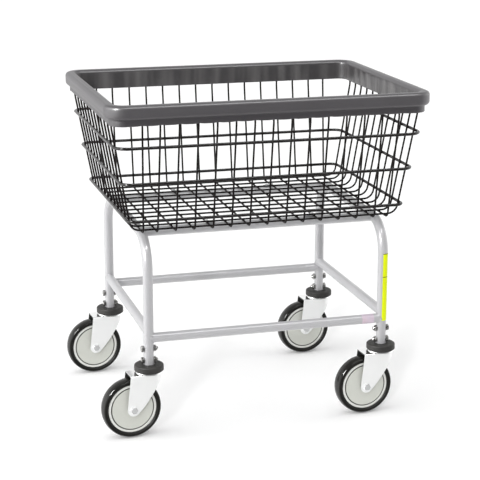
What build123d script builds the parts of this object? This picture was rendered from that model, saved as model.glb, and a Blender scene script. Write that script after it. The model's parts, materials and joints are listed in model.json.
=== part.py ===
from build123d import *
import os
from math import atan2, cos, radians, sin, sqrt

# Wheeled laundry cart: a wire basket with a vinyl bumper on a tubular steel frame
# with four swivel casters. Millimetres; +X along the cart, +Y to its back, +Z up.
# The origin is on the floor, midway between the four legs.

# ---- driving dimensions: frame ----
LEG_X = 258.0                 # leg axis to the middle of the cart, along X
LEG_Y = 208.5                 # leg axis to the middle of the cart, along Y
LEG_TUBE_D = 21.0
RAIL_TUBE_D = 20.0
TUBE_WALL = 1.5
LEG_BOTTOM_Z = 154.0
SIDE_BEND_R = 70.0            # bend of a side frame's upper corners, at the tube axis
CROSSBAR_Y = 150.0            # upper crossbars, under the basket floor
LOWER_CROSSBAR_Z = 210.2
LOWER_SIDE_RAIL_Z = 224.3
BOLT_ZS = (162.2, 187.2)      # cross bolts that hold a caster stem in its leg
BOLT_R = 4.0
BOLT_HEX_AF = 12.7
BOLT_HEAD_T = 5.5
CAP_NUT_HEX_T = 4.5
CAP_NUT_DOME_R = 4.8
CAP_NUT_HEIGHT = 9.7
CAP_NUT_BORE = 6.0            # depth of a cap nut's hole

# ---- driving dimensions: basket ----
WIRE_R = 2.0
RING_WIRE_R = 3.175
FLOOR_Z = 435.0               # axis of the lower layer of floor wires
WALL_X_FLOOR = 288.0          # end wall plane at the floor
WALL_Y_FLOOR = 208.5          # side wall plane at the floor
RIM_X = 327.5                 # wall planes at the rim
RIM_Y = 243.0
WALL_TOP_Z = 655.0            # above this the wires stand upright, inside the bumper
RIM_WIRE_Z = 689.5
RIM_CORNER_R = 24.0
DEPTH_WIRE_PITCH = 39.25      # wires that run front to back, under the floor
DEPTH_WIRE_STEPS = 6          # evenly spaced wires on each side of the middle one
END_WIRE_X_FLOOR = 265.5      # last wire near each corner leans out a little
END_WIRE_X_RIM = 272.0
LENGTH_WIRES = 12             # wires that run end to end, on top of the others
LENGTH_WIRE_PITCH_FLOOR = 35.8
LENGTH_WIRE_PITCH_RIM = 37.6
DEPTH_WIRE_BEND_R = 12.0
LENGTH_WIRE_BEND_R = 22.0
TOP_BEND_R = 30.0
RINGS = {"upper_ring": (618.0, 30.0), "middle_ring": (542.0, 24.0), "lower_ring": (462.0, 18.0)}

# ---- driving dimensions: bumper ----
BUMPER_TOP_Z = 706.3
BULB_HEIGHT = 28.7
SKIRT_HEIGHT = 14.5
BUMPER_OUT = 18.0             # wall plane to the bulb's outer face
BUMPER_IN = 5.5               # wall plane to the inner face
SKIRT_OUT = 8.0               # wall plane to the skirt's outer face
BULB_ROUNDING = 8.0
SKIRT_ROUNDING = 1.5
SLOT_HALF = 3.45
SLOT_TOP_Z = 693.0

# ---- driving dimensions: casters ----
WHEEL_R = 63.5
TRAIL = 40.5                  # swivel axis to axle
CASTER_YAW = {"fl": 5.5, "fr": 4.0, "bl": 4.0, "br": 4.0}
GUARD_R = 31.0
GUARD_BOTTOM_Z = 141.0
GUARD_TOP_Z = 153.9
GUARD_ROUNDING = 3.5
GUARD_LOWER_ROUNDING = 1.5
COLLAR_R = 12.0               # stem collar that the leg stands on
STEM_R = 8.8
STEM_TOP_Z = 204.0
KINGPIN_R = 6.0
KINGPIN_CLEARANCE = 0.06
KINGPIN_HEAD_R = 10.0
KINGPIN_HEAD_T = 4.0
KINGPIN_HEAD_CHAMFER = 2.0
KINGPIN_PLAY = 0.3            # kingpin head to the crown's underside
RACE_R = 25.0
RACE_BOTTOM_Z = 140.0
RACE_CHAMFER = 0.6
CROWN_TOP_Z = 137.5
CROWN_T = 3.0
CUP_R = 28.0                  # lower cup of the swivel bearing, pressed onto the crown
CUP_H = 1.7
FORK_HALF = 22.0
FORK_T = 2.5
FORK_REAR_S = 45.5            # distances s run from the swivel axis towards the trailing side
FORK_FRONT_S = -25.0
FORK_KNEE = (-11.0, 109.0)    # where the leading edge steepens
FORK_END_R = 13.5
FORK_BEND_R = 3.5
FORK_INNER_R = 1.5
FORK_BLANK_LENGTH = 100.0     # straight sides, before the fork is cut to its side outline
AXLE_R = 4.0
AXLE_CLEARANCE = 0.05
AXLE_HEX_AF = 12.7
AXLE_HEAD_T = 5.0
AXLE_NUT_T = 6.5
AXLE_THREAD_OUT = 1.5         # thread that shows past the nut

# ---- driving dimensions: wheel, as half widths and radii ----
BOSS_HALF = 18.9
HUB_BOSS_R = 10.0
BUSHING_R = 6.5
BUSHING_HALF = 19.2
CORE_R = 50.0
FLANGE_R = 52.0
FLANGE_IN = 9.0
FACE_HALF = 11.5
WEB_HALF = 9.4
COVER_SEAT_R = 46.4
COVER_R = 45.6
COVER_FACE = 12.0
COVER_CHAMFER = 0.8
TYRE_HALF = 15.0
TYRE_SHOULDER = (61.4, 12.6)  # radius and half width where the tread begins

# ---- driving dimensions: clips and labels ----
CLIP_XS = (-117.75, 117.75)   # clips straddle a floor wire above each upper crossbar
CLIP_T = 2.0
CLIP_WIDTH = 12.0
CLIP_FOOT = 14.0
CLIP_SCREW_R = 2.0
CLIP_SCREW_HEAD_R = 4.2
CLIP_SCREW_HEAD_T = 2.4
CLIP_SCREW_LENGTH = 10.0
CLIP_SCREW_ROUNDING = 1.4
LABEL_T = 0.25
LEG_LABEL_Z = (206.0, 356.0)
LEG_LABEL_ANGLES = (-107.0, 0.0)    # about the leg, degrees from +X
RAIL_LABEL_X = (211.0, 238.0)
RAIL_LABEL_ANGLES = (-100.0, 70.0)  # about the rail, degrees from the front

CORNERS = {"fl": (-1, -1), "fr": (1, -1), "bl": (-1, 1), "br": (1, 1)}
TOUCH = 0.02                  # gap left between surfaces that rest on each other
HOLE_CLEARANCE = 0.1          # bolt and screw holes, on the radius
THREAD_END_GAP = 0.1          # bolt end to the bottom of a cap nut's hole
HEX_CHAMFER = 0.3             # past the flats, across the top of a hexagon


def save(node, *solids):
    shape = solids[0] if len(solids) == 1 else Compound(list(solids))
    export_step(shape, os.path.join("parts", node + ".step"))


def rod(start, end, radius):
    """Round bar from one point to another."""
    axis = Vector(*end) - Vector(*start)
    section = Plane(origin=start, z_dir=axis) * Circle(radius)
    return extrude(section, amount=axis.length)


def bar_along(points, radii, radius):
    """Round bar that follows straight runs joined by tangent arcs."""
    path = FilletPolyline(*points, radius=radii)
    section = Plane(origin=path @ 0, z_dir=path % 0) * Circle(radius)
    return sweep(section, path=path)


def loop(half_x, half_y, corner_r, z, radius):
    """Round wire bent to a closed rounded rectangle."""
    path = Pos(0, 0, z) * RectangleRounded(2 * half_x, 2 * half_y, corner_r).wire()
    section = Plane(origin=path @ 0, z_dir=path % 0) * Circle(radius)
    return sweep(section, path=path)


def hexagon_prism(across_flats, height):
    """Hexagonal nut or bolt head standing on z = 0, its upper corners chamfered."""
    corner_r = across_flats / sqrt(3)
    blank = Cylinder(corner_r, height, align=(Align.CENTER, Align.CENTER, Align.MIN))
    cut = corner_r - across_flats / 2 + HEX_CHAMFER
    blank = chamfer(blank.edges().sort_by(Axis.Z)[-1], cut / 2, cut)
    return extrude(RegularPolygon(across_flats / 2, 6, major_radius=False), amount=height) & blank


def turned(points):
    """Solid of revolution about Z from (radius, height) corners."""
    outline = Plane.XZ * make_face(Polyline(*points, close=True))
    return revolve(outline, Axis.Z)


# ---------------------------------------------------------------- frame

SIDE_TOP_Z = FLOOR_Z - WIRE_R - TOUCH - LEG_TUBE_D / 2
CROSSBAR_Z = FLOOR_Z - WIRE_R - TOUCH - RAIL_TUBE_D / 2


def side_frame_bar(x, diameter):
    """Inverted U in a plane across the cart: two legs and the rail that joins their tops."""
    points = [(x, -LEG_Y, LEG_BOTTOM_Z), (x, -LEG_Y, SIDE_TOP_Z),
              (x, LEG_Y, SIDE_TOP_Z), (x, LEG_Y, LEG_BOTTOM_Z)]
    return bar_along(points, SIDE_BEND_R, diameter / 2)


def side_frame(x):
    tube = side_frame_bar(x, LEG_TUBE_D) - side_frame_bar(x, LEG_TUBE_D - 2 * TUBE_WALL)
    for y in (-LEG_Y, LEG_Y):
        for z in BOLT_ZS:
            tube -= rod((x - LEG_TUBE_D, y, z), (x + LEG_TUBE_D, y, z), BOLT_R + HOLE_CLEARANCE)
    return tube


def coped_tube(start, end, posts):
    """Cross tube whose ends are cut to fit round the tubes that it is welded to."""
    outer = rod(start, end, RAIL_TUBE_D / 2)
    inner = rod(start, end, RAIL_TUBE_D / 2 - TUBE_WALL)
    tube = outer - inner
    for post in posts:
        tube -= post
    return tube


def sticker(axis_point, axis_dir, x_dir, tube_r, length, angles):
    """Thin strip wrapped round part of a tube."""
    plane = Plane(origin=axis_point, x_dir=x_dir, z_dir=axis_dir)
    inner_r = tube_r + TOUCH
    outer_r = inner_r + LABEL_T
    start, end = angles
    outline = Line((inner_r * cos(radians(start)), inner_r * sin(radians(start))),
                   (outer_r * cos(radians(start)), outer_r * sin(radians(start))))
    outline += CenterArc((0, 0), outer_r, start, end - start)
    outline += Line((outer_r * cos(radians(end)), outer_r * sin(radians(end))),
                    (inner_r * cos(radians(end)), inner_r * sin(radians(end))))
    outline += CenterArc((0, 0), inner_r, start, end - start)
    return extrude(plane * make_face(outline.edges()), amount=length)


def make_frame():
    posts = [side_frame_bar(x, LEG_TUBE_D + 2 * TOUCH) for x in (-LEG_X, LEG_X)]
    legs = []
    for sx, sy in CORNERS.values():
        x, y = sx * LEG_X, sy * LEG_Y
        top = LOWER_SIDE_RAIL_Z + RAIL_TUBE_D
        legs.append(rod((x, y, LEG_BOTTOM_Z), (x, y, top), LEG_TUBE_D / 2 + TOUCH))
    save("left_side_frame", side_frame(-LEG_X))
    save("right_side_frame", side_frame(LEG_X))
    for side, sy in (("front", -1), ("back", 1)):
        y = sy * CROSSBAR_Y
        upper = coped_tube((-LEG_X, y, CROSSBAR_Z), (LEG_X, y, CROSSBAR_Z), posts)
        for x in CLIP_XS:
            screw_x = x + clip_screw_offset(x)
            upper -= rod((screw_x, y, CROSSBAR_Z), (screw_x, y, FLOOR_Z), CLIP_SCREW_R + HOLE_CLEARANCE)
        save("upper_" + side + "_crossbar", upper)
        y = sy * LEG_Y
        lower = coped_tube((-LEG_X, y, LOWER_CROSSBAR_Z), (LEG_X, y, LOWER_CROSSBAR_Z), legs)
        save("lower_" + side + "_crossbar", lower)
    for side, x in (("left", -LEG_X), ("right", LEG_X)):
        rail = coped_tube((x, -LEG_Y, LOWER_SIDE_RAIL_Z), (x, LEG_Y, LOWER_SIDE_RAIL_Z), legs)
        save("lower_" + side + "_rail", rail)


def make_labels():
    low, high = LEG_LABEL_Z
    save("leg_label", sticker((LEG_X, -LEG_Y, low), (0, 0, 1), (1, 0, 0), LEG_TUBE_D / 2,
                              high - low, LEG_LABEL_ANGLES))
    start, end = RAIL_LABEL_X
    save("rail_label", sticker((start, -LEG_Y, LOWER_CROSSBAR_Z), (1, 0, 0), (0, -1, 0), RAIL_TUBE_D / 2,
                               end - start, RAIL_LABEL_ANGLES))


def leg_bolt(x, y, z, outward):
    """Hex bolt through a leg, its head on the outer side."""
    face = LEG_TUBE_D / 2 + TOUCH
    end = face + CAP_NUT_BORE - THREAD_END_GAP
    shank = rod((x + outward * face, y, z), (x - outward * end, y, z), BOLT_R)
    head = Pos(x + outward * face, y, z) * Rot(0, 90 * outward, 0) * hexagon_prism(BOLT_HEX_AF, BOLT_HEAD_T)
    return shank + head


def cap_nut(x, y, z, inward):
    """Domed nut on the inner end of a leg bolt."""
    nut = hexagon_prism(BOLT_HEX_AF, CAP_NUT_HEX_T)
    nut += Pos(0, 0, CAP_NUT_HEIGHT - CAP_NUT_DOME_R) * Sphere(CAP_NUT_DOME_R)
    nut -= Cylinder(BOLT_R + TOUCH, CAP_NUT_BORE, align=(Align.CENTER, Align.CENTER, Align.MIN))
    return Pos(x + inward * (LEG_TUBE_D / 2 + TOUCH), y, z) * Rot(0, 90 * inward, 0) * nut


def make_leg_fasteners():
    places = [(sx * LEG_X, sy * LEG_Y, z, sx) for sx, sy in CORNERS.values() for z in BOLT_ZS]
    save("leg_bolts", *[leg_bolt(x, y, z, sx) for x, y, z, sx in places])
    save("leg_cap_nuts", *[cap_nut(x, y, z, -sx) for x, y, z, sx in places])


# ---------------------------------------------------------------- basket

def wall(floor_value, rim_value, z):
    """Distance of a sloping wall's wire plane from the middle of the cart at height z."""
    share = (z - FLOOR_Z) / (WALL_TOP_Z - FLOOR_Z)
    return floor_value + (rim_value - floor_value) * share


def depth_wire(x_floor, x_rim):
    """Wire down the front wall, back under the floor and up the back wall."""
    top = RIM_WIRE_Z - RING_WIRE_R - TOUCH
    points = [(x_rim, -RIM_Y, top), (x_rim, -RIM_Y, WALL_TOP_Z), (x_floor, -WALL_Y_FLOOR, FLOOR_Z),
              (x_floor, WALL_Y_FLOOR, FLOOR_Z), (x_rim, RIM_Y, WALL_TOP_Z), (x_rim, RIM_Y, top)]
    return bar_along(points, [TOP_BEND_R, DEPTH_WIRE_BEND_R, DEPTH_WIRE_BEND_R, TOP_BEND_R], WIRE_R)


def length_wire(y_floor, y_rim):
    """Wire down one end wall, along the floor on top of the other layer and up the far end."""
    top = RIM_WIRE_Z - RING_WIRE_R - TOUCH
    z = FLOOR_Z + 2 * WIRE_R + TOUCH
    x_floor = wall(WALL_X_FLOOR, RIM_X, z)
    points = [(-RIM_X, y_rim, top), (-RIM_X, y_rim, WALL_TOP_Z), (-x_floor, y_floor, z),
              (x_floor, y_floor, z), (RIM_X, y_rim, WALL_TOP_Z), (RIM_X, y_rim, top)]
    return bar_along(points, [TOP_BEND_R, LENGTH_WIRE_BEND_R, LENGTH_WIRE_BEND_R, TOP_BEND_R], WIRE_R)


def make_basket():
    even = [i * DEPTH_WIRE_PITCH for i in range(-DEPTH_WIRE_STEPS, DEPTH_WIRE_STEPS + 1)]
    xs = [(-END_WIRE_X_FLOOR, -END_WIRE_X_RIM)] + [(x, x) for x in even]
    xs.append((END_WIRE_X_FLOOR, END_WIRE_X_RIM))
    save("depth_wires", *[depth_wire(floor, rim) for floor, rim in xs])
    steps = [i - (LENGTH_WIRES - 1) / 2 for i in range(LENGTH_WIRES)]
    ys = [(s * LENGTH_WIRE_PITCH_FLOOR, s * LENGTH_WIRE_PITCH_RIM) for s in steps]
    save("length_wires", *[length_wire(floor, rim) for floor, rim in ys])
    for name, (z, corner_r) in RINGS.items():
        # the wire planes lean, so the gap across them is a little under the horizontal one
        out = (WIRE_R + RING_WIRE_R) / cos(atan2(RIM_X - WALL_X_FLOOR, WALL_TOP_Z - FLOOR_Z)) + TOUCH
        half_x = wall(WALL_X_FLOOR, RIM_X, z) + out
        half_y = wall(WALL_Y_FLOOR, RIM_Y, z) + out
        save(name, loop(half_x, half_y, corner_r, z, RING_WIRE_R))
    save("rim_wire", loop(RIM_X, RIM_Y, RIM_CORNER_R, RIM_WIRE_Z, RING_WIRE_R))


def rounded_block(offset, bottom, top):
    """Upright block whose sides lie at a distance outside the wall planes."""
    outline = RectangleRounded(2 * (RIM_X + offset), 2 * (RIM_Y + offset), RIM_CORNER_R + offset)
    return extrude(Pos(0, 0, bottom) * outline, amount=top - bottom)


def make_bumper():
    bulb_bottom = BUMPER_TOP_Z - BULB_HEIGHT
    skirt_bottom = bulb_bottom - SKIRT_HEIGHT
    bulb = rounded_block(BUMPER_OUT, bulb_bottom, BUMPER_TOP_Z)
    for end in (-1, 0):
        bulb = fillet(bulb.faces().sort_by(Axis.Z)[end].edges(), BULB_ROUNDING)
    skirt = rounded_block(SKIRT_OUT, skirt_bottom, bulb_bottom + BULB_ROUNDING)
    skirt = fillet(skirt.faces().sort_by(Axis.Z)[0].edges(), SKIRT_ROUNDING)
    body = bulb + skirt - rounded_block(-BUMPER_IN, skirt_bottom - 1, BUMPER_TOP_Z + 1)
    inner_top = body.faces().filter_by(Plane.XY).sort_by(Axis.Z)[-1].inner_wires()[0].edges()
    body = fillet(inner_top, BULB_ROUNDING)
    slot = rounded_block(SLOT_HALF, skirt_bottom - 1, SLOT_TOP_Z)
    slot -= rounded_block(-SLOT_HALF, skirt_bottom - 1, SLOT_TOP_Z)
    save("bumper", body - slot)


def clip_screw_offset(x):
    """A clip's foot and screw lie on the side of its wire towards the middle of the cart."""
    return -(WIRE_R + CLIP_T + CLIP_FOOT / 2) if x > 0 else WIRE_R + CLIP_T + CLIP_FOOT / 2


def clip(x, y):
    """Stepped plate: a foot on the crossbar and a lip over one floor wire."""
    side = -1 if x > 0 else 1
    foot_z = FLOOR_Z - WIRE_R
    lip_z = FLOOR_Z + WIRE_R + TOUCH
    inner = WIRE_R + 0.2
    step = side * inner
    riser = side * (inner + CLIP_T)
    toe = side * (inner + CLIP_T + CLIP_FOOT)
    outline = [(-side * WIRE_R, lip_z), (step, lip_z), (step, foot_z), (toe, foot_z),
               (toe, foot_z + CLIP_T), (riser, foot_z + CLIP_T), (riser, lip_z + CLIP_T),
               (-side * WIRE_R, lip_z + CLIP_T)]
    plate = Plane.XZ * make_face(Polyline(*outline, close=True))
    plate = extrude(plate, amount=CLIP_WIDTH / 2, both=True)
    hole = rod((clip_screw_offset(x), 0, foot_z - 1), (clip_screw_offset(x), 0, foot_z + CLIP_T + 1),
               CLIP_SCREW_R + HOLE_CLEARANCE)
    return Pos(x, y, 0) * (plate - hole)


def clip_screw(x, y):
    z = FLOOR_Z - WIRE_R + CLIP_T + TOUCH
    x += clip_screw_offset(x)
    head = Pos(x, y, z) * Cylinder(CLIP_SCREW_HEAD_R, CLIP_SCREW_HEAD_T,
                                   align=(Align.CENTER, Align.CENTER, Align.MIN))
    head = fillet(head.edges().sort_by(Axis.Z)[-1], CLIP_SCREW_ROUNDING)
    return head + rod((x, y, z - CLIP_SCREW_LENGTH), (x, y, z), CLIP_SCREW_R)


def make_clips():
    places = [(x, y) for x in CLIP_XS for y in (-CROSSBAR_Y, CROSSBAR_Y)]
    save("basket_clips", *[clip(x, y) for x, y in places])
    save("clip_screws", *[clip_screw(x, y) for x, y in places])


# ---------------------------------------------------------------- casters
# A caster is drawn with its swivel axis on the Z axis and its wheel trailing towards -X,
# then turned to its own angle and moved to its leg.

def stem():
    """Stem bolted inside the leg, its collar, and the riveted kingpin that holds the fork."""
    head_top = CROWN_TOP_Z - CROWN_T - KINGPIN_PLAY
    head_bottom = head_top - KINGPIN_HEAD_T
    return turned([(0, head_bottom), (KINGPIN_HEAD_R - KINGPIN_HEAD_CHAMFER, head_bottom),
                   (KINGPIN_HEAD_R, head_bottom + KINGPIN_HEAD_CHAMFER), (KINGPIN_HEAD_R, head_top),
                   (KINGPIN_R, head_top), (KINGPIN_R, RACE_BOTTOM_Z + TOUCH),
                   (COLLAR_R, RACE_BOTTOM_Z + TOUCH), (COLLAR_R, LEG_BOTTOM_Z - TOUCH),
                   (STEM_R, LEG_BOTTOM_Z - TOUCH), (STEM_R, STEM_TOP_Z), (0, STEM_TOP_Z)])


def drilled_stem():
    body = stem()
    for z in BOLT_ZS:
        body -= rod((-COLLAR_R, 0, z), (COLLAR_R, 0, z), BOLT_R + HOLE_CLEARANCE)
    return body


def guard_disc():
    disc = Pos(0, 0, GUARD_BOTTOM_Z) * Cylinder(GUARD_R, GUARD_TOP_Z - GUARD_BOTTOM_Z,
                                                align=(Align.CENTER, Align.CENTER, Align.MIN))
    disc = fillet(disc.edges().sort_by(Axis.Z)[-1], GUARD_ROUNDING)
    disc = fillet(disc.edges().sort_by(Axis.Z)[0], GUARD_LOWER_ROUNDING)
    return disc - rod((0, 0, GUARD_BOTTOM_Z - 1), (0, 0, GUARD_TOP_Z + 1), COLLAR_R + TOUCH)


def race():
    """Upper race of the swivel bearing, a ring round the stem's collar under the guard disc."""
    top = GUARD_BOTTOM_Z - TOUCH
    return turned([(COLLAR_R + TOUCH, RACE_BOTTOM_Z), (RACE_R - RACE_CHAMFER, RACE_BOTTOM_Z),
                   (RACE_R, RACE_BOTTOM_Z + RACE_CHAMFER), (RACE_R, top), (COLLAR_R + TOUCH, top)])


def fork_side_outline():
    """Side view of the fork: crown at the top, rounded ear round the axle."""
    axle = (-TRAIL, WHEEL_R)
    rear_angle = 8.0          # the rear edge meets the ear this far above level
    front_angle = -46.0       # the front edge meets it this far below level, on the other side
    across, rise = FORK_END_R * cos(radians(rear_angle)), FORK_END_R * sin(radians(rear_angle))
    rear = (axle[0] - across, axle[1] + rise)
    low = (axle[0], axle[1] - FORK_END_R)
    across, rise = FORK_END_R * cos(radians(front_angle)), FORK_END_R * sin(radians(front_angle))
    front = (axle[0] + across, axle[1] + rise)
    knee = (-FORK_KNEE[0], FORK_KNEE[1])
    outline = Line((-FORK_REAR_S, CROWN_TOP_Z), rear)
    outline += ThreePointArc(rear, low, front)
    outline += Spline(front, knee, (-FORK_FRONT_S, CROWN_TOP_Z),
                      tangents=[(sin(radians(-front_angle)), cos(radians(-front_angle))), (0.25, 1)])
    outline += Line((-FORK_FRONT_S, CROWN_TOP_Z), (-FORK_REAR_S, CROWN_TOP_Z))
    return make_face(outline.edges())


def fork_plan(half, length):
    """Plan of the fork: straight sides that end in a round nose on the leading side."""
    nose_x = -FORK_FRONT_S - FORK_HALF
    return Pos(nose_x, 0) * Circle(half) + Pos(nose_x - length / 2, 0) * Rectangle(length, 2 * half)


def fork_block(half, length, top_z, rounding):
    """Upright block with the fork's plan, its top edge rounded all round except at the trailing end."""
    block = extrude(fork_plan(half, length), amount=top_z)
    top_edges = block.faces().sort_by(Axis.Z)[-1].edges()
    return fillet([edge for edge in top_edges if edge.length > 2 * FORK_HALF + 1], rounding)


def fork():
    """Pressed steel fork: a crown plate with a bearing cup and sides that wrap round to a nose."""
    crown_bottom = CROWN_TOP_Z - CROWN_T
    shell = fork_block(FORK_HALF, FORK_BLANK_LENGTH, CROWN_TOP_Z, FORK_BEND_R)
    shell -= fork_block(FORK_HALF - FORK_T, FORK_BLANK_LENGTH + 1, crown_bottom, FORK_INNER_R)
    shell &= extrude(Plane.XZ * fork_side_outline(), amount=FORK_HALF + 1, both=True)
    shell += rod((0, 0, CROWN_TOP_Z - CUP_H / 2), (0, 0, CROWN_TOP_Z + CUP_H), CUP_R)
    shell -= rod((0, 0, crown_bottom - 1), (0, 0, RACE_BOTTOM_Z), KINGPIN_R + KINGPIN_CLEARANCE)
    shell -= rod((-TRAIL, -FORK_HALF - 1, WHEEL_R), (-TRAIL, FORK_HALF + 1, WHEEL_R), AXLE_R + TOUCH)
    return shell


def axle_bolt_and_nut():
    face = FORK_HALF + TOUCH
    shank_end = face + AXLE_NUT_T + AXLE_THREAD_OUT
    head = Pos(-TRAIL, -face, WHEEL_R) * Rot(90, 0, 0) * hexagon_prism(AXLE_HEX_AF, AXLE_HEAD_T)
    bolt = head + rod((-TRAIL, -face, WHEEL_R), (-TRAIL, shank_end, WHEEL_R), AXLE_R)
    nut = Pos(-TRAIL, face, WHEEL_R) * Rot(-90, 0, 0) * hexagon_prism(AXLE_HEX_AF, AXLE_NUT_T)
    nut -= rod((-TRAIL, face - 1, WHEEL_R), (-TRAIL, shank_end + 1, WHEEL_R), AXLE_R + TOUCH)
    return bolt, nut


def on_axle(shape):
    """Places a shape turned about Z on the axle, which lies along Y."""
    return Pos(-TRAIL, 0, WHEEL_R) * Rot(90, 0, 0) * shape


def wheel_core():
    half = [(BUSHING_R + TOUCH, BOSS_HALF), (HUB_BOSS_R, BOSS_HALF), (HUB_BOSS_R, WEB_HALF),
            (COVER_SEAT_R, WEB_HALF), (COVER_SEAT_R, FACE_HALF), (FLANGE_R, FACE_HALF),
            (FLANGE_R, FLANGE_IN), (CORE_R, FLANGE_IN)]
    mirrored = [(r, -w) for r, w in reversed(half)]
    return on_axle(turned(half + mirrored))


def tyre():
    inner_r = CORE_R + TOUCH
    lip_r = FLANGE_R + TOUCH
    lip = FLANGE_IN - TOUCH
    shoulder_r, shoulder_w = TYRE_SHOULDER
    outline = Polyline((lip_r, -FACE_HALF), (lip_r, -lip), (inner_r, -lip), (inner_r, lip),
                       (lip_r, lip), (lip_r, FACE_HALF))
    for side in (1, -1):
        outline += ThreePointArc((lip_r, side * FACE_HALF), ((lip_r + shoulder_r) / 2, side * TYRE_HALF),
                                 (shoulder_r, side * shoulder_w))
    outline += ThreePointArc((shoulder_r, shoulder_w), (WHEEL_R, 0), (shoulder_r, -shoulder_w))
    return on_axle(revolve(Plane.XZ * make_face(outline.edges()), Axis.Z))


def wheel_cover(side):
    """Thread-guard disc pressed into the wheel's face."""
    outline = [(HUB_BOSS_R + TOUCH, WEB_HALF + TOUCH), (COVER_R, WEB_HALF + TOUCH),
               (COVER_R, COVER_FACE - COVER_CHAMFER), (COVER_R - COVER_CHAMFER, COVER_FACE),
               (HUB_BOSS_R + TOUCH, COVER_FACE)]
    return on_axle(turned([(r, side * w) for r, w in outline]))


def bushing():
    return on_axle(turned([(AXLE_R + AXLE_CLEARANCE, -BUSHING_HALF), (BUSHING_R, -BUSHING_HALF),
                           (BUSHING_R, BUSHING_HALF), (AXLE_R + AXLE_CLEARANCE, BUSHING_HALF)]))


def make_casters():
    for name, (sx, sy) in CORNERS.items():
        leg = Pos(sx * LEG_X, sy * LEG_Y, 0)
        turn = leg * Rot(0, 0, CASTER_YAW[name])
        save(name + "_stem", leg * drilled_stem())
        save(name + "_guard_disc", leg * guard_disc())
        save(name + "_swivel_race", leg * race())
        save(name + "_fork", turn * fork())
        save(name + "_axle", *[turn * piece for piece in axle_bolt_and_nut()])
        save(name + "_bushing", turn * bushing())
        save(name + "_wheel_core", turn * wheel_core())
        save(name + "_wheel_covers", turn * wheel_cover(-1), turn * wheel_cover(1))
        save(name + "_tyre", turn * tyre())


os.makedirs("parts", exist_ok=True)
make_frame()
make_labels()
make_leg_fasteners()
make_basket()
make_bumper()
make_clips()
make_casters()
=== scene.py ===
import json
from math import atan2, cos, pi, radians, sin, sqrt

import bpy
import bmesh
from mathutils import Matrix, Vector, noise


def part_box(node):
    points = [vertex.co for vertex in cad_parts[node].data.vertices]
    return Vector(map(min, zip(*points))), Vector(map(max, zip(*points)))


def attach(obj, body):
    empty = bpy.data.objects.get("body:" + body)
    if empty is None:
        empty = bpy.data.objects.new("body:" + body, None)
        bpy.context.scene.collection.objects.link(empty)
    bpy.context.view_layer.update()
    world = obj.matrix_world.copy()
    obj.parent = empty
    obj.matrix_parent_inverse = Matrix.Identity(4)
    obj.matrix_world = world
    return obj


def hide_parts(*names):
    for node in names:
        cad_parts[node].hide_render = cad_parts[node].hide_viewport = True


# A wheeled laundry cart: CAD tubes, wires and forks with finished surfaces, and a modelled
# bumper, wheels and welds. Metres, in the frame's own axes: +X along the cart, +Z up.

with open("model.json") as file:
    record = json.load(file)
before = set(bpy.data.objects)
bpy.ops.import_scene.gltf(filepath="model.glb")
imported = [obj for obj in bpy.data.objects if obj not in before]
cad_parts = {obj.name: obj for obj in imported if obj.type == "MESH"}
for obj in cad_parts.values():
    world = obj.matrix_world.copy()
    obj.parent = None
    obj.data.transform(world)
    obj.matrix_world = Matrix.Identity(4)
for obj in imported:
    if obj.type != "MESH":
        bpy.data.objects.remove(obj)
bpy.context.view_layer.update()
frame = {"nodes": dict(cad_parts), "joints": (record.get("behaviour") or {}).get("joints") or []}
nodes = frame["nodes"]
joints = {joint["name"]: joint for joint in frame["joints"]}

MM = 0.001
MICRON = 0.000001
CASTERS = ("fl", "fr", "bl", "br")
X_AXIS, Y_AXIS, Z_AXIS = Vector((1, 0, 0)), Vector((0, 1, 0)), Vector((0, 0, 1))


# ---------------------------------------------------------------- mesh helpers

def add_mesh(name, verts, faces, material):
    """A new smooth mesh object of verts and faces, with outward normals and one material."""
    mesh = bpy.data.meshes.new(name)
    mesh.from_pydata(verts, [], faces)
    mesh.update()
    shape = bmesh.new()
    shape.from_mesh(mesh)
    bmesh.ops.recalc_face_normals(shape, faces=shape.faces)
    shape.to_mesh(mesh)
    shape.free()
    for polygon in mesh.polygons:
        polygon.use_smooth = True
    piece = bpy.data.objects.new(name, mesh)
    bpy.context.scene.collection.objects.link(piece)
    piece.data.materials.append(material)
    return piece


def grid_faces(rows, columns, start=0):
    """Quads of a grid that closes on itself both ways."""
    faces = []
    for i in range(rows):
        for j in range(columns):
            a = start + i * columns + j
            b = start + i * columns + (j + 1) % columns
            c = start + ((i + 1) % rows) * columns + (j + 1) % columns
            d = start + ((i + 1) % rows) * columns + j
            faces.append((a, b, c, d))
    return faces


def turned_verts(profile, steps):
    """Ring of profile points (radius, height) turned about local Y."""
    verts = []
    for i in range(steps):
        a = 2 * pi * i / steps
        verts += [(r * cos(a), w, r * sin(a)) for r, w in profile]
    return verts


def arc(centre, radius, start, end, steps):
    """Points on an arc, angles in degrees."""
    points = []
    for i in range(steps + 1):
        a = radians(start + (end - start) * i / steps)
        points.append((centre[0] + radius * cos(a), centre[1] + radius * sin(a)))
    return points


def middle(name, axis):
    """Middle of a node's box along one axis, 0 to 2."""
    low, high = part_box(name)
    return (low[axis] + high[axis]) / 2


# ---------------------------------------------------------------- node helpers

COLOR_A, COLOR_B, COLOR_RESULT = 6, 7, 2   # the Mix node's colour sockets


def add_node(tree, kind, inputs=None, **settings):
    """A new node with its settings, and a link or a value on each input that is given."""
    made = tree.nodes.new(kind)
    for key, value in settings.items():
        setattr(made, key, value)
    for key, value in (inputs or {}).items():
        if isinstance(value, bpy.types.NodeSocket):
            tree.links.new(value, made.inputs[key])
        else:
            made.inputs[key].default_value = value
    return made


def math_node(tree, operation, *values):
    """Result of a sum on sockets or numbers."""
    made = add_node(tree, "ShaderNodeMath", dict(enumerate(values)), operation=operation)
    return made.outputs["Value"]


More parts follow.
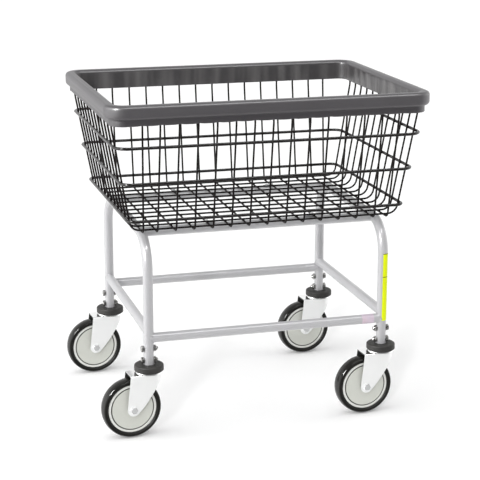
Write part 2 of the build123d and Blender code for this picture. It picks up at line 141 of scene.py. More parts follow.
def map_range(tree, value, start, end, low, high, **settings):
    """Maps a value from start..end to low..high."""
    inputs = {"Value": value, "From Min": start, "From Max": end, "To Min": low, "To Max": high}
    return add_node(tree, "ShaderNodeMapRange", inputs, **settings).outputs["Result"]


class Look:
    """A node material in the making: a Principled shader and the few nodes that feed it."""

    def __init__(self, name, color, roughness, metallic=0.0, specular=0.5):
        self.material = bpy.data.materials.new(name)
        self.material.use_nodes = True
        self.tree = self.material.node_tree
        self.shader = self.tree.nodes["Principled BSDF"]
        self.color = color
        self.relief = None
        self.set("Base Color", (*color, 1))
        self.set("Roughness", roughness)
        self.set("Metallic", metallic)
        self.set("Specular IOR Level", specular)

    def set(self, socket, value):
        """Sets one of the shader's own values."""
        self.shader.inputs[socket].default_value = value

    def feed(self, socket, value):
        """Links a value that varies over the surface to the shader."""
        self.tree.links.new(value, self.shader.inputs[socket])

    def coat(self, weight, roughness):
        """Clear coat over the base."""
        self.set("Coat Weight", weight)
        self.set("Coat Roughness", roughness)

    def place(self, stretch=(1, 1, 1), source="Object"):
        """Coordinates for a texture, stretched along the axes."""
        coords = add_node(self.tree, "ShaderNodeTexCoord").outputs[source]
        mapping = add_node(self.tree, "ShaderNodeMapping", {"Vector": coords, "Scale": stretch})
        return mapping.outputs["Vector"]

    def axis(self, letter, source="Object"):
        """One coordinate of a point on the surface."""
        split = add_node(self.tree, "ShaderNodeSeparateXYZ", {"Vector": self.place(source=source)})
        return split.outputs[letter]

    def noise(self, scale, detail=3.0, rough=0.5, stretch=(1, 1, 1), source="Object"):
        """Cloudy texture."""
        inputs = {"Vector": self.place(stretch, source)}
        inputs |= {"Scale": scale, "Detail": detail, "Roughness": rough}
        return add_node(self.tree, "ShaderNodeTexNoise", inputs).outputs["Fac"]

    def span(self, value, low, high, start=0.3, end=0.7):
        """Maps a texture's value from start..end to low..high."""
        return map_range(self.tree, value, start, end, low, high)

    def tint(self, value, other, amount=1.0, start=0.3, end=0.7):
        """Mixes the base colour with another as value goes from start to end."""
        base = self.shader.inputs["Base Color"]
        under = base.links[0].from_socket if base.is_linked else tuple(base.default_value)
        share = self.span(value, 0, amount, start, end)
        inputs = {"Factor": share, COLOR_A: under, COLOR_B: (*other, 1)}
        mix = add_node(self.tree, "ShaderNodeMix", inputs, data_type="RGBA")
        self.feed("Base Color", mix.outputs[COLOR_RESULT])

    def gloss(self, value, low, high):
        """Roughness that varies with a texture."""
        self.feed("Roughness", self.span(value, low, high))

    def bump(self, value, microns):
        """Adds relief of a real height on top of any relief already there."""
        inputs = {"Height": value, "Strength": 1.0, "Distance": microns * MICRON}
        if self.relief is not None:
            inputs["Normal"] = self.relief
        self.relief = add_node(self.tree, "ShaderNodeBump", inputs).outputs["Normal"]
        self.feed("Normal", self.relief)

    def length(self, **parts):
        """Length of a vector made of the X, Y or Z that are given."""
        vector = add_node(self.tree, "ShaderNodeCombineXYZ", parts).outputs["Vector"]
        made = add_node(self.tree, "ShaderNodeVectorMath", {0: vector}, operation="LENGTH")
        return made.outputs["Value"]


def scaled(color, factor):
    """A darker or lighter colour."""
    return tuple(min(1.0, c * factor) for c in color)


# ---------------------------------------------------------------- materials

def frame_paint():
    """Silver-grey powder coat: fine orange peel, a little metallic, dusty variation."""
    look = Look("frame_paint", (0.47, 0.468, 0.48), 0.32, metallic=0.08, specular=0.35)
    look.coat(0.25, 0.08)
    look.tint(look.noise(6, 4), scaled(look.color, 0.96), 0.7)
    look.tint(look.noise(900, 2), scaled(look.color, 1.05), 0.4)
    look.gloss(look.noise(25, 3), 0.29, 0.37)
    look.bump(look.noise(260, 2), 8)
    return look.material


def weld_paint():
    """The same coat over weld beads, a little duller."""
    look = Look("weld_paint", (0.445, 0.443, 0.455), 0.36, metallic=0.08, specular=0.35)
    look.coat(0.25, 0.12)
    look.tint(look.noise(300, 3), scaled(look.color, 0.85), 0.7)
    look.bump(look.noise(1200, 2), 30)
    return look.material


def basket_coating(name, specular):
    """Black-brown dipped coating on wire: glossy, slightly uneven."""
    look = Look(name, (0.005, 0.0035, 0.0035), 0.22, specular=specular)
    look.tint(look.noise(30, 3), (0.010, 0.007, 0.006), 0.8)
    look.tint(look.noise(500, 2), (0.003, 0.002, 0.002), 0.6)
    look.gloss(look.noise(90, 3), 0.17, 0.26)
    look.bump(look.noise(420, 3), 30)
    return look.material


INNER_V_END, INNER_V_FADE = 0.12, 0.20     # where the inner face ends, as a share of the bumper's section
SKIRT_V, SKIRT_V_SPREAD = 0.62, 0.09       # middle and half width of the skirt, in the same share
DRAW_LINES = (9, 300, 1)                   # stretch of a noise round the rim and round the section
PAINTED_SHEEN_STREAKS = (64, 0.6, 1)
SATIN_BANDS = (5, 90, 1)


def bumper_vinyl():
    """Dark grey vinyl extrusion: faint draw lines, a darker inner face with lighter streaks of painted
    reflection, painted shade on the skirt, soft satin.
    """
    look = Look("bumper_vinyl", (0.063, 0.058, 0.062), 0.28, specular=0.85)
    draw_lines = look.noise(1.0, 4, 0.6, DRAW_LINES, "UV")
    look.tint(look.noise(14, 4), (0.074, 0.069, 0.075), 0.8)
    look.tint(draw_lines, (0.053, 0.050, 0.056), 0.5)
    round_section = look.axis("Y", "UV")
    inner_face = look.span(round_section, 1, 0, INNER_V_END, INNER_V_FADE)
    sheen_streaks = math_node(look.tree, "MULTIPLY", look.noise(1.0, 2, 0.5, PAINTED_SHEEN_STREAKS, "UV"), inner_face)
    skirt = math_node(look.tree, "COMPARE", round_section, SKIRT_V, SKIRT_V_SPREAD)
    # the inner face is tinted darker than the rest of the section
    look.tint(inner_face, (0.040, 0.037, 0.039), 1.0, 0, 1)
    # painted reflection: lighter vertical streaks up the inner face
    look.tint(sheen_streaks, (0.125, 0.120, 0.120), 0.8, 0.44, 0.64)
    # painted shade: the skirt under the bulb is tinted darker
    look.tint(skirt, (0.036, 0.032, 0.037), 0.8, 0, 1)
    look.gloss(look.noise(1.0, 3, 0.5, SATIN_BANDS, "UV"), 0.34, 0.42)
    look.bump(draw_lines, 20)
    look.bump(look.noise(1500, 2), 20)
    return look.material


def guard_rubber():
    """Matt black rubber of the guard discs, dusty and finely grained."""
    look = Look("guard_rubber", (0.024, 0.023, 0.022), 0.50, specular=0.3)
    look.tint(look.noise(60, 4), (0.044, 0.042, 0.039), 0.8)
    look.gloss(look.noise(200, 3), 0.48, 0.66)
    look.bump(look.noise(1400, 3), 40)
    return look.material


def zinc(name, color, rough, clouds, metal=0.85):
    """Bright zinc plating: cloudy patches and fine forming scratches."""
    look = Look(name, color, rough, metallic=metal, specular=0.6)
    look.tint(look.noise(22, 2, 0.4), scaled(color, clouds), 0.8, 0.2, 0.8)
    look.gloss(look.noise(60, 3), rough * 0.9, rough * 1.15)
    look.bump(look.noise(40, 2, 0.5, (1, 1, 9)), 8)
    return look


CUP_AND_SKIN = 2.7 * MM                    # from the top of the fork's bearing cup to just below its crown
NOSE_LEAD = 3.0 * MM                       # centre of the fork's round nose, ahead of the swivel axis
FORK_GAP = 19.5 * MM                       # half of the space between the fork's plates
EDGE_BLUR = 0.3 * MM
SIDE_METAL, CROWN_METAL = 0.18, 1.0
SIDE_ROUGH, CROWN_ROUGH = 0.33, 0.12
# nearly black painted shade for the inside of each fork
FORK_INSIDE_SHADE = (0.02, 0.02, 0.019)


def along(look, points, origin, direction):
    """How far points lie from origin in a direction, in metres."""
    offset = add_node(look.tree, "ShaderNodeVectorMath", {0: points, 1: origin}, operation="SUBTRACT")
    inputs = {0: offset.outputs["Vector"], 1: direction}
    dot = add_node(look.tree, "ShaderNodeVectorMath", inputs, operation="DOT_PRODUCT")
    return dot.outputs["Value"]


def fork_plan_distance(look, caster):
    """Distance from a fork's middle line in plan: across its sides, then all round its nose."""
    axle = Vector(joints["spin_" + caster]["pos_m"])
    lead = Vector(joints["swivel_" + caster]["pos_m"]) - axle
    lead.z = 0
    nose = axle + lead + NOSE_LEAD * lead.normalized()
    points = look.place()
    ahead = math_node(look.tree, "MAXIMUM", along(look, points, nose, lead.normalized()), 0)
    return look.length(X=ahead, Y=along(look, points, axle, joints["spin_" + caster]["axis"]))


def fork_plating(caster):
    """Nearly white zinc, polished on the fork's crown, with painted shade that makes the inside of the fork
    black.
    """
    look = zinc(caster + "_fork_zinc", (0.93, 0.935, 0.93), SIDE_ROUGH, 0.97, SIDE_METAL)
    look.coat(0.4, 0.10)
    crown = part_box(caster + "_fork")[1].z - CUP_AND_SKIN
    on_crown = look.span(look.axis("Z"), 0, 1, crown - EDGE_BLUR, crown + EDGE_BLUR)
    look.feed("Metallic", look.span(on_crown, SIDE_METAL, CROWN_METAL, 0, 1))
    look.feed("Roughness", look.span(on_crown, SIDE_ROUGH, CROWN_ROUGH, 0, 1))
    # painted shade: the inside of the fork, between its plates and below the crown, is tinted nearly black
    look.tint(fork_plan_distance(look, caster), FORK_INSIDE_SHADE, 0.97, FORK_GAP + EDGE_BLUR, FORK_GAP)
    look.tint(on_crown, look.color, 1.0, 0, 1)
    return look.material


def dark_hardware():
    """Black nickel on bolts: shiny, worn to steel in specks."""
    look = Look("dark_hardware", (0.62, 0.615, 0.60), 0.14, metallic=1.0)
    look.tint(look.noise(250, 4), (0.15, 0.145, 0.14), 0.9, 0.46, 0.6)
    look.gloss(look.noise(500, 3), 0.10, 0.18)
    look.bump(look.noise(900, 3), 20)
    return look.material


def axle_distance(look):
    """Distance from the piece's own Y axis, in metres."""
    return look.length(X=look.axis("X"), Z=look.axis("Z"))


def rings(look, frequency):
    """Concentric lines about the piece's own Y axis."""
    return math_node(look.tree, "SINE", math_node(look.tree, "MULTIPLY", axle_distance(look), frequency))


TYRE_LIP = (55.2 * MM, 56.2 * MM)          # radii where the tyre's dull lip gives way to its smooth side
CORE_GROOVE = (47.3 * MM, 46.7 * MM)       # radii where the painted groove shade begins and is darkest, on the core
COVER_GROOVE = (44.2 * MM, 44.8 * MM)      # and on the cover
GROOVE_SHADE = (0.035, 0.036, 0.030)


def tyre_rubber():
    """Black rubber: rings left by the mould, a dull lip beside the rim and polished sides."""
    look = Look("tyre_rubber", (0.011, 0.0107, 0.0095), 0.12, specular=0.2)
    look.tint(look.noise(70, 4), (0.017, 0.0165, 0.015), 0.7)
    look.feed("Roughness", look.span(axle_distance(look), 0.45, 0.12, *TYRE_LIP))
    look.bump(look.noise(700, 3), 15)
    look.bump(rings(look, 1500), 15)
    return look.material


def moulded_plastic(name, color, rough, mottle, groove):
    """Pale moulded nylon: faint flow mottle, turned rings, painted shade down in the groove."""
    look = Look(name, color, rough)
    look.tint(look.noise(28, 4, 0.6), scaled(color, mottle), 0.8)
    look.tint(look.noise(400, 3), scaled(color, 1.04), 0.4)
    # painted shade: the face darkens towards the groove between the hub and the cover
    look.tint(axle_distance(look), GROOVE_SHADE, 0.92, *groove)
    look.gloss(look.noise(60, 3), rough * 0.9, rough * 1.2)
    look.bump(rings(look, 2600), 6)
    look.bump(look.noise(500, 3), 10)
    return look.material


def label_film(name, color, other):
    """Printed film: even colour with a slightly uneven glossy face."""
    look = Look(name, color, 0.30, specular=0.2)
    look.tint(look.noise(40, 3), other, 0.5)
    look.gloss(look.noise(150, 3), 0.25, 0.35)
    look.bump(look.noise(160, 2), 10)
    return look


PANEL, RULE = 52 * MM, 1.6 * MM            # the yellow label's upper panel and its ruled lines
RULE_INK = (0.02, 0.02, 0.004)


def yellow_film():
    """Yellow film with an empty panel at its top, between two thin dark lines."""
    look = label_film("yellow_label", (0.71, 0.82, 0.0006), (0.66, 0.75, 0.0006))
    height = look.axis("Z")
    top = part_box("leg_label")[1].z
    for z in (top - 0.6 * RULE, top - PANEL):
        look.tint(math_node(look.tree, "COMPARE", height, z, RULE / 2), RULE_INK, 0.9, 0, 1)
    return look.material


def brass():
    """Turned brass of the axle bushings."""
    look = Look("bushing_brass", (0.60, 0.44, 0.20), 0.30, metallic=1.0)
    look.tint(look.noise(200, 4), (0.42, 0.30, 0.14), 0.6)
    look.gloss(look.noise(300, 3), 0.29, 0.42)
    look.bump(look.noise(800, 3), 40)
    return look.material


def floor_paint():
    """Matt white floor, with a little light of its own."""
    look = Look("studio_floor", (0.93, 0.93, 0.93), 0.65, specular=0.2)
    look.tint(look.noise(3, 3), (0.92, 0.92, 0.92), 0.5)
    look.set("Emission Color", (1, 1, 1, 1))
    look.set("Emission Strength", 0.07)
    return look.material


paint = frame_paint()
weld = weld_paint()
coating = basket_coating("basket_coating", 0.14)
ring_coating = basket_coating("ring_coating", 0.45)
vinyl = bumper_vinyl()
rubber = guard_rubber()
fork_zinc = {caster + "_fork": fork_plating(caster) for caster in CASTERS}
# painted shade: the stem's zinc is darkened to stand for the shadow round the foot of each leg inside the
# guard disc
stem_zinc = zinc("stem_zinc", (0.30, 0.30, 0.31), 0.34, 0.85).material
axle_zinc = zinc("axle_zinc", (0.84, 0.85, 0.85), 0.20, 0.85, 0.5).material
clip_zinc = zinc("clip_steel", (0.55, 0.55, 0.56), 0.36, 0.8).material
hardware = dark_hardware()
tread = tyre_rubber()
core_plastic = moulded_plastic("core_plastic", (0.75, 0.755, 0.72), 0.33, 0.95, CORE_GROOVE)
cover_plastic = moulded_plastic("cover_plastic", (0.60, 0.61, 0.56), 0.36, 0.93, COVER_GROOVE)
yellow = yellow_film()
lilac = label_film("small_label", (0.55, 0.50, 0.59), (0.66, 0.49, 0.53)).material
bearing_brass = brass()

NODE_LOOKS = (                             # part of a node's name, and its material
    ("side_frame", paint), ("crossbar", paint), ("_rail", paint),
    ("_wires", coating), ("_ring", ring_coating), ("rim_wire", coating), ("bumper", vinyl),
    ("leg_bolts", hardware), ("leg_cap_nuts", hardware),
    ("leg_label", yellow), ("rail_label", lilac),
    ("basket_clips", clip_zinc), ("clip_screws", clip_zinc),
    # painted shade: the swivel race takes the dark hardware finish to stand for the shaded gap under each
    # guard disc
    ("guard_disc", rubber), *fork_zinc.items(), ("_stem", stem_zinc), ("swivel_race", hardware),
    ("_axle", axle_zinc), ("_bushing", bearing_brass),
    ("_tyre", tread), ("wheel_core", core_plastic), ("wheel_covers", cover_plastic),
)


def dress_nodes():
    """Gives every CAD node its finished material."""
    for name, node in nodes.items():
        material = next(look for part, look in NODE_LOOKS if part in name)
        node.data.materials.clear()
        node.data.materials.append(material)


# ---------------------------------------------------------------- bumper

WALL_X, WALL_Y = 327.5 * MM, 243.0 * MM    # rim wire's centreline
RIM_CORNER = 24 * MM                       # and its corner radius
RIM_STEP, CORNER_STEPS = 3.2 * MM, 16      # how finely it is followed
BUMPER_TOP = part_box("bumper")[1].z
BUMPER_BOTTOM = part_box("bumper")[0].z
OUT, INSIDE, SKIRT = 18 * MM, -5.5 * MM, 8 * MM    # the section's faces, measured out from the rim wire
BULB = 28.7 * MM                           # height of the thick part above the skirt
ROUND = 8 * MM                             # radius of its edges
LIP = 1.1 * MM                             # from the section's foot to its inner face's first point
SKIRT_ROUND, FOOT_ROUND = 1.4 * MM, 0.9 * MM       # radii at the lower edges, outside and inside
SLOT_ROUND_OUT, SLOT_ROUND_IN = 0.6 * MM, 0.5 * MM
SLOT = 3.45 * MM                           # half width of the slot that takes the rim wire
SLOT_TOP = 693 * MM
WIRE_PITCH_X = 39.25 * MM                  # between the wires along a long side
WIRE_PITCH_Y = 37.6 * MM                   # and along a short one


def bumper_section():
    """Section as (offset from the rim wire, height), from the inner face's foot round the outside."""
    top, foot = BUMPER_TOP, BUMPER_BOTTOM
    step = top - BULB
    points = [(INSIDE, foot + LIP + (top - ROUND - foot - LIP) * i / 6) for i in range(6)]
    points += [(-x, z) for x, z in arc((-(INSIDE + ROUND), top - ROUND), ROUND, 0, 90, 6)]
    points += [((INSIDE + ROUND + OUT - ROUND) / 2, top)]
    points += arc((OUT - ROUND, top - ROUND), ROUND, 90, 0, 6)
    points += [(OUT, (top + step) / 2)]
    points += arc((OUT - ROUND, step + ROUND), ROUND, 0, -90, 6)
    points += [(SKIRT + 0.9 * MM, step - 0.1 * MM), (SKIRT + 0.2 * MM, step - 0.9 * MM)]
    points += [(SKIRT, step - (step - foot) * share) for share in (0.25, 0.5, 0.72)]
    points += arc((SKIRT - SKIRT_ROUND, foot + SKIRT_ROUND), SKIRT_ROUND, 0, -90, 3)
    points += arc((SLOT + SLOT_ROUND_OUT, foot + SLOT_ROUND_OUT), SLOT_ROUND_OUT, -90, -180, 2)
    points += [(SLOT, SLOT_TOP), (-SLOT, SLOT_TOP)]
    points += arc((-SLOT - SLOT_ROUND_IN, foot + SLOT_ROUND_IN), SLOT_ROUND_IN, 0, -90, 2)
    points += arc((INSIDE + FOOT_ROUND, foot + FOOT_ROUND), FOOT_ROUND, -90, -160, 2)
    return points


def rim_sides():
    """The rim's sides: outward normal, direction, half length, distance out, wires' pitch and phase."""
    long_side = (WALL_X - RIM_CORNER, WALL_Y, WIRE_PITCH_X, 0.0)
    short_side = (WALL_Y - RIM_CORNER, WALL_X, WIRE_PITCH_Y, 0.5)
    return (
        (0, -1, 1, 0, *long_side),
        (1, 0, 0, 1, *short_side),
        (0, 1, -1, 0, *long_side),
        (-1, 0, 0, -1, *short_side),
    )


def rim_stations():
    """Stations round the rim: x, y, outward normal, the wires' phase, and 1 on a side or 0 on a corner."""
    stations = []
    for nx, ny, dx, dy, half, away, pitch, shift in rim_sides():
        count = int(2 * half / RIM_STEP)
        for i in range(count):
            run = -half + 2 * half * i / count
            stations.append((nx * away + dx * run, ny * away + dy * run, nx, ny, run / pitch + shift, 1.0))
        centre_x = nx * (away - RIM_CORNER) + dx * half
        centre_y = ny * (away - RIM_CORNER) + dy * half
        for i in range(CORNER_STEPS):
            a = atan2(ny, nx) + pi / 2 * i / CORNER_STEPS
            x, y = centre_x + RIM_CORNER * cos(a), centre_y + RIM_CORNER * sin(a)
            stations.append((x, y, cos(a), sin(a), 0.5, 0.0))
    return stations


def bumper_give(offset, z, over_wire, drift, flat):
    """How far a point of the section moves outward and up as the vinyl follows the wires and wanders."""
    low = max(0.0, min(1.0, (BUMPER_TOP - ROUND - z) / (BUMPER_TOP - ROUND - BUMPER_BOTTOM)))
    inner = 1.0 if offset < INSIDE + 0.5 * MM else 0.0
    skirt = 1.0 if offset > SLOT and z < BUMPER_TOP - BULB - 1 * MM else 0.0
    push = inner * min(1.0, 1.7 * low) * (1.35 - 1.7 * over_wire + 0.5 * drift) * MM
    push += skirt * low * (0.5 * over_wire - 0.6 + 0.5 * drift + 1.1 * (1 - flat)) * MM
    lift = (low ** 4) * (0.3 + 1.1 * over_wire + 0.9 * drift) * MM * (inner + skirt)
    return push, max(0.0, lift)


def bumper_verts(stations, section):
    """The section at every station, rising a little over each basket wire."""
    verts = []
    for x, y, nx, ny, phase, flat in stations:
        over_wire = (0.5 + 0.5 * cos(2 * pi * phase)) ** 3 * flat
        drift = noise.noise(Vector((x * 9, y * 9, 0.3)))
        for offset, z in section:
            push, lift = bumper_give(offset, z, over_wire, drift, flat)
            verts.append((x + nx * (offset + push), y + ny * (offset + push), z + lift))
    return verts


def make_bumper():
    """Vinyl bumper, with a UV map that runs round the rim and round the section."""
    section = bumper_section()
    stations = rim_stations()
    rows, columns = len(stations), len(section)
    piece = add_mesh("bumper_vinyl", bumper_verts(stations, section), grid_faces(rows, columns), vinyl)
    uv = piece.data.uv_layers.new(name="UVMap")
    for loop in piece.data.loops:
        row, column = divmod(loop.vertex_index, columns)
        uv.data[loop.index].uv = (row / rows, column / columns)
    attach(piece, "frame")
    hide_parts("bumper")


# ---------------------------------------------------------------- wheels

TYRE_STEPS, DISC_STEPS = 176, 128          # segments round a tyre, and round a hub or cover
SHARP_ANGLE = radians(35)                  # edges sharper than this aren't smoothed over


def tyre_profile():
    """Half of the tyre's section, bead to tread, as (radius, half width) in millimetres."""
    half = [(50.02, 8.98), (52.02, 8.98), (52.02, 11.3)]
    half += [(52.3, 11.75), (52.8, 12.1), (53.3, 12.9), (53.6, 13.3), (54.2, 13.6), (54.6, 13.55)]
    half += [(55.2, 14.2), (56.4, 14.75), (57.6, 14.9), (58.6, 14.7)]
    half += [(59.6, 14.25), (60.4, 13.7), (61.1, 13.0), (61.55, 12.3), (61.75, 12.15), (61.9, 11.6)]
    half += [(62.4, 9.8), (62.85, 7.6), (63.15, 5.2), (63.32, 2.8), (63.38, 0.9), (63.5, 0.35)]
    return half


def hub_profile():
    """Hub body: a rim with rounded edges, a seat for the cover and a boss."""
    half = [(6.6, 18.9), (9.2, 18.9), (10.0, 18.2), (10.0, 9.4), (46.8, 9.4), (46.8, 11.0), (47.2, 11.4)]
    half += [(48.2, 11.5), (50.6, 11.5), (51.5, 11.3), (52.0, 10.8), (52.0, 9.0), (50.0, 9.0)]
    return half


def cover_profile():
    """Cover disc: shallow dish between a rolled edge and a raised ring round the boss."""
    face = [(10.05, 9.45), (10.05, 11.7), (10.6, 12.0), (14.0, 12.0), (15.0, 11.7), (16.0, 11.45)]
    face += [(22.0, 11.35), (30.0, 11.38), (38.0, 11.5), (42.0, 11.7), (43.2, 11.9), (44.1, 11.85)]
    face += [(44.7, 11.45), (44.9, 10.9), (44.9, 9.45)]
    return face


def both_sides(half):
    """Closes a half section with its mirror image."""
    return [(r * MM, w * MM) for r, w in half] + [(r * MM, -w * MM) for r, w in reversed(half)]


def wheel_piece(name, caster, profiles, material, steps, replaced):
    """Turned piece on a caster's axle."""
    verts, faces = [], []
    for profile in profiles:
        start = len(verts)
        verts += turned_verts(profile, steps)
        faces += grid_faces(steps, len(profile), start)
    piece = add_mesh(name, verts, faces, material)
    piece.data.set_sharp_from_angle(angle=SHARP_ANGLE)
    spin = joints["spin_" + caster]
    axis = Vector(spin["axis"])
    piece.rotation_euler = (0, 0, atan2(-axis.x, axis.y))
    piece.location = spin["pos_m"]
    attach(piece, "wheel_" + caster)
    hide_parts(caster + replaced)


def make_wheels():
    """Tyre, hub and a pair of covers on every caster."""
    tyre = [both_sides(tyre_profile())]
    hub = [both_sides(hub_profile())]
    covers = [[(r * MM, side * w * MM) for r, w in cover_profile()] for side in (1, -1)]
    for caster in CASTERS:
        wheel_piece(caster + "_tyre_rubber", caster, tyre, tread, TYRE_STEPS, "_tyre")
        wheel_piece(caster + "_hub", caster, hub, core_plastic, DISC_STEPS, "_wheel_core")
        wheel_piece(caster + "_covers", caster, covers, cover_plastic, DISC_STEPS,
                    "_wheel_covers")


# ---------------------------------------------------------------- frame welds

LEG_R = 10.5 * MM
RAIL_R = 10 * MM
BEAD_R = 1.7 * MM
SEAM_STEPS, BEAD_SIDES = 72, 8
RIPPLE_STEPS = 4                           # seam steps from one ripple of a bead to the next


def saddle(centre, branch, main):
    """Points and outward directions round the seam where one tube meets another square on."""
    across = main.cross(branch)
    points = []
    for i in range(SEAM_STEPS):
        a = 2 * pi * i / SEAM_STEPS
        side = RAIL_R * cos(a)
        depth = sqrt(LEG_R ** 2 - side ** 2)
        spread = across * cos(a) + main * sin(a)
        out = (spread + branch * 0.8 + across * cos(a) * 0.3).normalized()
        points.append((centre + branch * depth + across * side + main * RAIL_R * sin(a), out))
    return points


def add_bead(verts, faces, seam, seed):
    """Rippled weld bead along a closed seam."""
    start, count = len(verts), len(seam)
    shift = Vector((seed, 0, 0))
    for i, (point, out) in enumerate(seam):
        tangent = (seam[(i + 1) % count][0] - seam[i - 1][0]).normalized()
        side = tangent.cross(out).normalized()
        ripple = 0.86 + 0.14 * cos(2 * pi * i / RIPPLE_STEPS) + 0.16 * noise.noise(point * 160 + shift)
        for j in range(BEAD_SIDES):
            a = 2 * pi * j / BEAD_SIDES
            verts.append(point + (out * cos(a) * 0.8 + side * sin(a)) * BEAD_R * ripple)
    faces += grid_faces(count, BEAD_SIDES, start)


def make_welds():
    """Weld beads where the crossbars and rails meet the side frames."""
    low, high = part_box("right_side_frame")
    leg_x, leg_y, frame_top = (low.x + high.x) / 2, high.y - LEG_R, high.z - LEG_R
    upper_y = middle("upper_back_crossbar", 1)
    crossbar_z, rail_z = middle("lower_front_crossbar", 2), middle("lower_left_rail", 2)
    seams = []
    for sx in (-1, 1):
        for sy in (-1, 1):
            leg = Vector((sx * leg_x, sy * leg_y, 0))
            seams.append(saddle(leg + Z_AXIS * crossbar_z, X_AXIS * -sx, Z_AXIS))
            seams.append(saddle(leg + Z_AXIS * rail_z, Y_AXIS * -sy, Z_AXIS))
            seams.append(saddle(Vector((sx * leg_x, sy * upper_y, frame_top)), X_AXIS * -sx, Y_AXIS))
    verts, faces = [], []
    for seed, seam in enumerate(seams):
        add_bead(verts, faces, seam, seed)
    piece = add_mesh("frame_welds", verts, faces, weld)
    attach(piece, "frame")


# ---------------------------------------------------------------- basket welds

DEPTH_WIRES_EACH_SIDE = 6                  # evenly pitched depth wires each side of the middle one
LENGTH_WIRES = 12
LENGTH_PITCH_FLOOR = 35.8 * MM             # between them on the floor
END_WIRE_FLOOR, END_WIRE_RIM = 265.5 * MM, 272 * MM    # how far out the end depth wires stand
WALL_TOP = 655 * MM
NUGGET_LEVELS, NUGGET_SIDES = 5, 8
NUGGET_SIZE = 1.3                          # times the wire's radius


def add_nugget(verts, faces, centre, normal, reach, seed):
    """Small flattened lump, as resistance welding leaves where two wires cross."""
    start, around, levels = len(verts), NUGGET_SIDES, NUGGET_LEVELS
    turn = normal.to_track_quat("Z", "Y").to_matrix()
    size = reach * (1 + 0.22 * noise.noise(centre * 50 + Vector((seed, 0, 0))))
    for i in range(levels):
        b = radians(-70 + 140 * i / (levels - 1))
        for j in range(around):
            a = 2 * pi * j / around
            spot = (size * cos(b) * cos(a), size * cos(b) * sin(a), 0.8 * size * sin(b))
            verts.append(centre + turn @ Vector(spot))
    for i in range(levels - 1):
        for j in range(around):
            a, b = start + i * around + j, start + i * around + (j + 1) % around
            faces.append((a, b, b + around, a + around))
    faces.append(tuple(start + j for j in reversed(range(around))))
    faces.append(tuple(start + (levels - 1) * around + j for j in range(around)))


def depth_wire_places():
    """Where each depth wire stands along the cart: on the floor and at the rim."""
    count = DEPTH_WIRES_EACH_SIDE
    places = [(i * WIRE_PITCH_X, i * WIRE_PITCH_X) for i in range(-count, count + 1)]
    return places + [(-END_WIRE_FLOOR, -END_WIRE_RIM), (END_WIRE_FLOOR, END_WIRE_RIM)]


def length_wire_places():
    """Where each length wire stands across the cart: on the floor and at the rim."""
    steps = [i - (LENGTH_WIRES - 1) / 2 for i in range(LENGTH_WIRES)]
    return [(s * LENGTH_PITCH_FLOOR, s * WIRE_PITCH_Y) for s in steps]


def ring_spots(name, floor_z):
    """Where the upright wires pass inside a ring: place, direction through the ring, and seed."""
    low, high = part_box(name)
    ring_r = (high.z - low.z) / 2
    z = (low.z + high.z) / 2
    share = (z - floor_z) / (WALL_TOP - floor_z)
    spots = []
    for side in (-1, 1):
        for at_floor, at_rim in depth_wire_places():
            x = at_floor + (at_rim - at_floor) * share
            spots.append((Vector((x, side * (high.y - 2 * ring_r), z)), Y_AXIS, 1))
        for at_floor, at_rim in length_wire_places():
            y = at_floor + (at_rim - at_floor) * share
            spots.append((Vector((side * (high.x - 2 * ring_r), y, z)), X_AXIS, 2))
    return spots


def make_basket_welds():
    """Nuggets at the floor's crossings and where every wire passes inside a ring."""
    wire_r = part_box("depth_wires")[1].x - END_WIRE_RIM
    under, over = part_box("depth_wires")[0].z + wire_r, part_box("length_wires")[0].z + wire_r
    spots = []
    for x, _ in depth_wire_places():
        for y, _ in length_wire_places():
            spots.append((Vector((x, y, (under + over) / 2)), Z_AXIS, 0))
    for name in ("upper_ring", "middle_ring", "lower_ring"):
        spots += ring_spots(name, under)
    verts, faces = [], []
    for place, direction, seed in spots:
        add_nugget(verts, faces, place, direction, NUGGET_SIZE * wire_r, seed)
    piece = add_mesh("basket_welds", verts, faces, coating)
    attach(piece, "frame")


# ---------------------------------------------------------------- studio

HORIZON, OVERHEAD = 1.0, 0.60              # brightness of the studio behind the cart and above it
FRONT_SHARE = 0.27                         # how much of it is left on the camera's side
LEFT_SHARE, RIGHT_SHARE = 2.2, 1.4         # how much more comes from the left and the right
FLOOR_RINGS = (1.0, 3.0, 9.0, 30.0, 300.0)
FLOOR_STEPS = 64
FLOOR_DROP = 0.2 * MM                      # below the tyres, so that the two never share a face
CAMERA_PLACE = Vector((-0.894, -3.112, 1.207))
HEADING, PITCH, ROLL = radians(16.01), radians(14.84), radians(0.12)    # to the right, down, clockwise
LENS, SENSOR_WIDTH = 112.8, 36             # millimetres
LIGHT_TARGET = Vector((0, 0, 0.4))
SOFTBOXES = (                              # name, place, width, height, watts, and if it lights matt surfaces
    ("left_wall", (-3.2, 0.2, 1.6), 2.2, 2.2, 26, True),
    ("right_wall", (3.4, 0.4, 1.6), 1.6, 2.2, 10, True),
    ("window", (-2.4, -1.5, 1.8), 0.28, 0.9, 180, False),
    ("strip", (0.5, -1.5, 3.0), 3.0, 0.30, 65, False),
)
SUNS = (                                   # name, place, width in degrees, strength
    ("daylight", (-1.6, -1.8, 4.2), 70, 1.15),
    ("key", (-1.9, -3.3, 1.9), 6, 0.95),
)


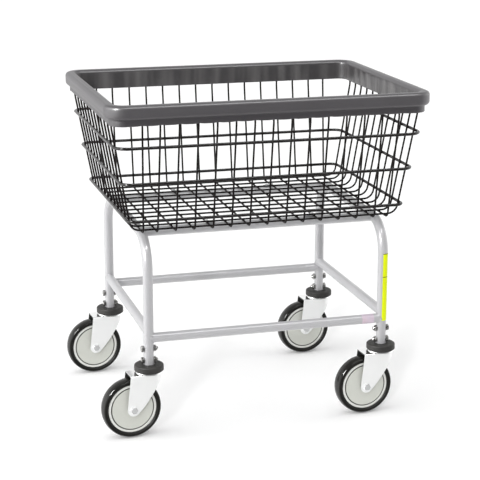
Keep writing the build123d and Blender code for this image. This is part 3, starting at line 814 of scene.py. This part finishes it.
def make_floor():
    """Pale floor, wide enough to reach past every view."""
    verts, faces = [(0, 0, 0)], []
    for radius in FLOOR_RINGS:
        for i in range(FLOOR_STEPS):
            a = 2 * pi * i / FLOOR_STEPS
            verts.append((radius * cos(a), radius * sin(a), 0))
    for i in range(FLOOR_STEPS):
        after = (i + 1) % FLOOR_STEPS
        faces.append((0, 1 + i, 1 + after))
        for ring in range(len(FLOOR_RINGS) - 1):
            a = 1 + ring * FLOOR_STEPS
            b = a + FLOOR_STEPS
            faces.append((a + i, b + i, b + after, a + after))
    floor = add_mesh("floor", verts, faces, floor_paint())
    floor.location.z = -FLOOR_DROP
    floor.visible_glossy = False


def fade(tree, value, start, end, low, high):
    """Smooth change from low to high as a direction's coordinate goes from start to end."""
    return map_range(tree, value, start, end, low, high, interpolation_type="SMOOTHSTEP")


def make_world():
    """White studio: bright behind and beside the cart, dimmer overhead and dark in front of it."""
    world = bpy.data.worlds.new("studio")
    world.use_nodes = True
    tree = world.node_tree
    coords = add_node(tree, "ShaderNodeTexCoord").outputs["Generated"]
    toward = add_node(tree, "ShaderNodeSeparateXYZ", {"Vector": coords}).outputs
    height = fade(tree, toward["Z"], 0.20, 0.75, HORIZON, OVERHEAD)
    depth = fade(tree, toward["Y"], -0.75, 0.05, FRONT_SHARE, 1.0)
    right = fade(tree, toward["X"], 0.50, 0.90, 0.5, RIGHT_SHARE - 0.5)
    left = fade(tree, toward["X"], -0.50, -0.90, 0.5, LEFT_SHARE - 0.5)
    sides = math_node(tree, "ADD", right, left)
    level = math_node(tree, "MULTIPLY", math_node(tree, "MULTIPLY", height, depth), sides)
    background = tree.nodes["Background"]
    background.inputs["Color"].default_value = (1, 1, 1, 1)
    tree.links.new(level, background.inputs["Strength"])
    bpy.context.scene.world = world


def make_camera():
    """Camera in front of the cart, a little to its left and above it, with a long lens."""
    forward = Vector((sin(HEADING) * cos(PITCH), cos(HEADING) * cos(PITCH), -sin(PITCH)))
    right = Vector((cos(HEADING), -sin(HEADING), 0))
    up = right.cross(forward)
    turned_right = right * cos(ROLL) + up * sin(ROLL)
    turned_up = up * cos(ROLL) - right * sin(ROLL)
    data = bpy.data.cameras.new("camera")
    data.sensor_width = SENSOR_WIDTH
    data.lens = LENS
    camera = bpy.data.objects.new("camera", data)
    turn = Matrix((turned_right, turned_up, -forward)).transposed()
    camera.matrix_world = Matrix.Translation(CAMERA_PLACE) @ turn.to_4x4()
    bpy.context.scene.collection.objects.link(camera)
    bpy.context.scene.camera = camera


def hang(name, light, place):
    """A light at a place, aimed at the middle of the cart."""
    lamp = bpy.data.objects.new(name, light)
    lamp.location = place
    lamp.rotation_euler = (LIGHT_TARGET - lamp.location).to_track_quat("-Z", "Y").to_euler()
    bpy.context.scene.collection.objects.link(lamp)
    return lamp


def softbox(name, place, width, height, power, diffuse):
    """Rectangular light that the camera doesn't see."""
    light = bpy.data.lights.new(name, "AREA")
    light.shape = "RECTANGLE"
    light.size = width
    light.size_y = height
    light.energy = power
    lamp = hang(name, light, place)
    lamp.visible_camera = False
    lamp.visible_diffuse = diffuse


def sun(name, place, width, strength):
    """Parallel light from the direction of a place, softer the wider it is, with no highlights."""
    light = bpy.data.lights.new(name, "SUN")
    light.angle = radians(width)
    light.energy = strength
    hang(name, light, place).visible_glossy = False


def make_lights():
    """Soft daylight for the diffuse level, and softboxes that the shiny surfaces reflect."""
    for box in SOFTBOXES:
        softbox(*box)
    for lamp in SUNS:
        sun(*lamp)


dress_nodes()
make_bumper()
make_wheels()
make_welds()
make_basket_welds()
make_floor()
make_world()
make_camera()
make_lights()
bpy.context.scene.view_settings.view_transform = "Standard"
bpy.context.scene.view_settings.look = "None"
